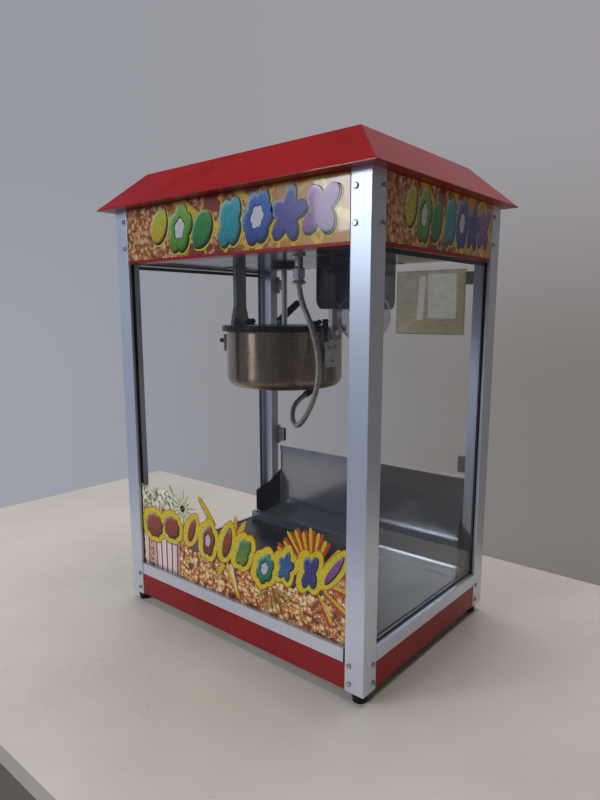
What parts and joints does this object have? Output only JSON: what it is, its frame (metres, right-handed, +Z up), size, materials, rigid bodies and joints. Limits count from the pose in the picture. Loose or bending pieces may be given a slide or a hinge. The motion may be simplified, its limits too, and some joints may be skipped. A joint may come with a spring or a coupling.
{
  "type": "popcorn maker",
  "caption": "Countertop popcorn maker: glazed cabinet on aluminium posts under a hipped roof, with a tilting kettle, stirrer drive, lamp and two rear doors.",
  "frame": {"origin": "centre of the cabinet on the table, at the height of the feet's undersides", "axes": "+Z up; the front glass faces -Y and the serving doors face +Y; X runs across the front"},
  "size_m": [0.56, 0.422, 0.76],
  "materials": {
    "anodised": "satin",
    "rubber": "matt",
    "galvanised": "satin",
    "red_paint": "gloss",
    "clear_glass": "clear",
    "stainless": "polished",
    "print": "gloss",
    "fasteners": "bright",
    "bracket_steel": "satin",
    "motor": "satin",
    "bush": "matt",
    "shaft": "polished",
    "bulb": "clear",
    "ceramic": "glazed",
    "pot": "brushed",
    "heater": "matt",
    "lid": "satin",
    "black_grip": "satin",
    "conduit": "bright",
    "switch_black": "gloss",
    "rocker_red": "gloss",
    "rocker_green": "gloss",
    "terminal": "matt",
    "acrylic": "clear",
    "door_metal": "satin",
    "label": "satin"
  },
  "bodies": {
    "cabinet": {"post_front_left": "anodised", "post_rear_left": "anodised", "post_front_right": "anodised", "post_rear_right": "anodised", "feet": "rubber", "base_pan": "galvanised", "base_panels_ends": "red_paint", "base_panels_side": "red_paint", "rails_ends": "anodised", "rails_side": "anodised", "glass_front": "clear_glass", "glass_right": "clear_glass", "glass_left": "clear_glass", "glass_seals": "rubber", "deck": "stainless", "kernel_trough": "stainless", "rear_apron": "stainless", "apron_wings": "stainless", "ceiling_plate": "stainless", "fascia_front": "red_paint", "fascias_side": "red_paint", "sign_front": "print", "signs_side": "print", "front_decal": "print", "roof": "red_paint", "post_screws": "fasteners", "motor_bracket": "bracket_steel", "gear_motor": "motor", "shaft_bush": "bush", "lamp_bulb": "bulb", "lamp_holder": "ceramic", "lamp_shield": "stainless", "hanger_left": "bracket_steel", "hanger_right": "bracket_steel", "conduit_fitting": "shaft", "kettle_conduit": "conduit", "switch_panel": "red_paint", "switch_bodies": "switch_black", "supply_gland": "bush", "terminal_block": "terminal", "door_hinge_posts": "door_metal"},
    "left_door": {"door_left": "acrylic", "door_fittings_left": "door_metal"},
    "right_door": {"door_right": "acrylic", "door_fittings_right": "door_metal", "door_label": "label"},
    "drive": {"drive_shaft": "shaft"},
    "kettle": {"kettle_pot": "pot", "heater_plate": "heater", "kettle_crossbar": "bracket_steel", "lid_rear": "lid", "trunnion_brackets": "bracket_steel", "latch_knob": "black_grip", "kettle_screws": "fasteners", "tipping_handle": "black_grip"},
    "front_lid": {"lid_front": "lid"},
    "stirrer_body": {"stirrer": "bracket_steel"},
    "heat_switch": {"rocker_heat": "rocker_red"},
    "stir_switch": {"rocker_stir": "rocker_green"},
    "light_switch": {"rocker_light": "rocker_red"}
  },
  "joints": [
    {"name": "door_left_hinge", "type": "hinge", "parent": "cabinet", "child": "left_door", "pos_m": [-0.2253, 0.186, 0.4], "axis": [0, 0, 1], "range_deg": [0, 100]},
    {"name": "door_right_hinge", "type": "hinge", "parent": "cabinet", "child": "right_door", "pos_m": [0.2253, 0.186, 0.4], "axis": [0, 0, -1], "range_deg": [0, 100]},
    {"name": "kettle_tilt", "type": "hinge", "parent": "cabinet", "child": "kettle", "pos_m": [-0.055, 0.013, 0.5], "axis": [1, 0, 0], "range_deg": [0, 70], "deforming": ["kettle_conduit"]},
    {"name": "front_lid_hinge", "type": "hinge", "parent": "kettle", "child": "front_lid", "pos_m": [-0.055, 0.013, 0.515], "axis": [-1, 0, 0], "range_deg": [0, 55]},
    {"name": "drive_spin", "type": "hinge", "parent": "cabinet", "child": "drive", "pos_m": [-0.055, 0.013, 0.56], "axis": [0, 0, 1], "continuous": true},
    {"name": "stirrer_spin", "type": "hinge", "parent": "kettle", "child": "stirrer_body", "pos_m": [-0.055, 0.013, 0.45], "axis": [0, 0, 1], "continuous": true},
    {"name": "heat_rocker", "type": "hinge", "parent": "cabinet", "child": "heat_switch", "pos_m": [-0.062, 0.181, 0.655], "axis": [-1, 0, 0], "range_deg": [0, 18]},
    {"name": "stir_rocker", "type": "hinge", "parent": "cabinet", "child": "stir_switch", "pos_m": [0, 0.181, 0.655], "axis": [-1, 0, 0], "range_deg": [0, 18]},
    {"name": "light_rocker", "type": "hinge", "parent": "cabinet", "child": "light_switch", "pos_m": [0.062, 0.181, 0.655], "axis": [-1, 0, 0], "range_deg": [0, 18]}
  ],
  "couplings": [
    {"joint": "drive_spin", "follows": "stirrer_spin", "ratio": 1}
  ]
}
